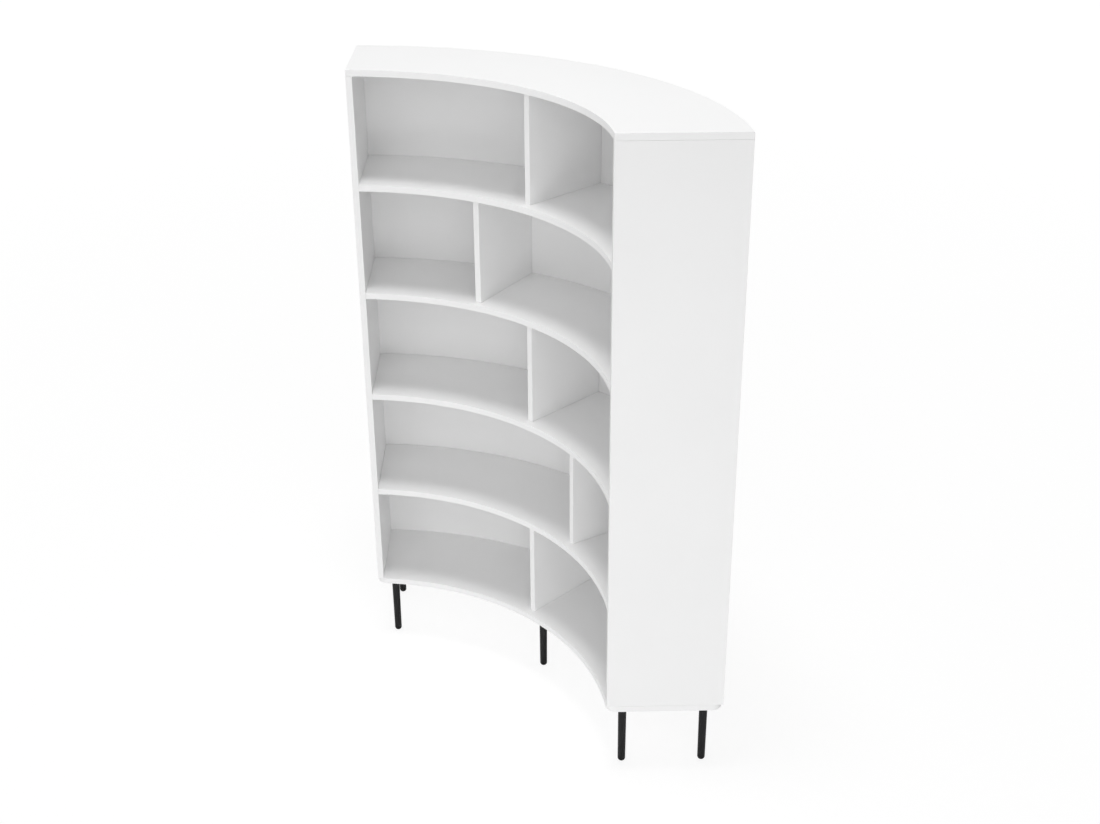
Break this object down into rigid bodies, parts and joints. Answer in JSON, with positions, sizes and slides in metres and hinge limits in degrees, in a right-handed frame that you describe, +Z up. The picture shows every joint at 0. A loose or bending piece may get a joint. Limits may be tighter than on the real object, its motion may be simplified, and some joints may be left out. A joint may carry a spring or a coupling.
{
  "type": "corner shelf unit",
  "caption": "Free-standing corner bookcase with hollow-curved shelves, radial dividers, a thin curved back, flat side panels set square to each other and slim black legs.",
  "frame": {"origin": "on the floor, in the middle of the width and depth of the bounding box", "axes": "+Z up; the left side panel runs along +Y and the right one along +X, the rounded back points to the corner at +X +Y, and the hollow front faces -X -Y"},
  "size_m": [1.0226, 1.0226, 1.855],
  "materials": {
    "white_board": "satin white faced board",
    "white_back": "satin white faced thin fibreboard",
    "black_steel": "satin black powder coat",
    "black_plastic": "matt black",
    "zinc_steel": "bright zinc plating"
  },
  "bodies": {
    "root": {"back_screw_1": "zinc_steel", "back_screw_2": "zinc_steel", "back_screw_3": "zinc_steel", "back_screw_4": "zinc_steel", "back_sheet": "white_back", "bottom_board": "white_board", "bottom_bolt_left_front": "zinc_steel", "bottom_bolt_left_rear": "zinc_steel", "bottom_bolt_right_front": "zinc_steel", "bottom_bolt_right_rear": "zinc_steel", "divider_1": "white_board", "divider_2": "white_board", "divider_3": "white_board", "divider_4": "white_board", "divider_5": "white_board", "glide_front_left": "black_plastic", "glide_front_middle": "black_plastic", "glide_front_right": "black_plastic", "glide_rear_left": "black_plastic", "glide_rear_middle": "black_plastic", "glide_rear_right": "black_plastic", "insert_front_left": "zinc_steel", "insert_front_middle": "zinc_steel", "insert_front_right": "zinc_steel", "insert_rear_left": "zinc_steel", "insert_rear_middle": "zinc_steel", "insert_rear_right": "zinc_steel", "leg_front_left": "black_steel", "leg_front_middle": "black_steel", "leg_front_right": "black_steel", "leg_rear_left": "black_steel", "leg_rear_middle": "black_steel", "leg_rear_right": "black_steel", "shelf_1": "white_board", "shelf_1_bolt_left_front": "zinc_steel", "shelf_1_bolt_left_rear": "zinc_steel", "shelf_1_bolt_right_front": "zinc_steel", "shelf_1_bolt_right_rear": "zinc_steel", "shelf_2": "white_board", "shelf_2_bolt_left_front": "zinc_steel", "shelf_2_bolt_left_rear": "zinc_steel", "shelf_2_bolt_right_front": "zinc_steel", "shelf_2_bolt_right_rear": "zinc_steel", "shelf_3": "white_board", "shelf_3_bolt_left_front": "zinc_steel", "shelf_3_bolt_left_rear": "zinc_steel", "shelf_3_bolt_right_front": "zinc_steel", "shelf_3_bolt_right_rear": "zinc_steel", "shelf_4": "white_board", "shelf_4_bolt_left_front": "zinc_steel", "shelf_4_bolt_left_rear": "zinc_steel", "shelf_4_bolt_right_front": "zinc_steel", "shelf_4_bolt_right_rear": "zinc_steel", "side_panel_left": "white_board", "side_panel_right": "white_board", "top_board": "white_board", "top_bolt_left_front": "zinc_steel", "top_bolt_left_rear": "zinc_steel", "top_bolt_right_front": "zinc_steel", "top_bolt_right_rear": "zinc_steel"}
  },
  "joints": []
}
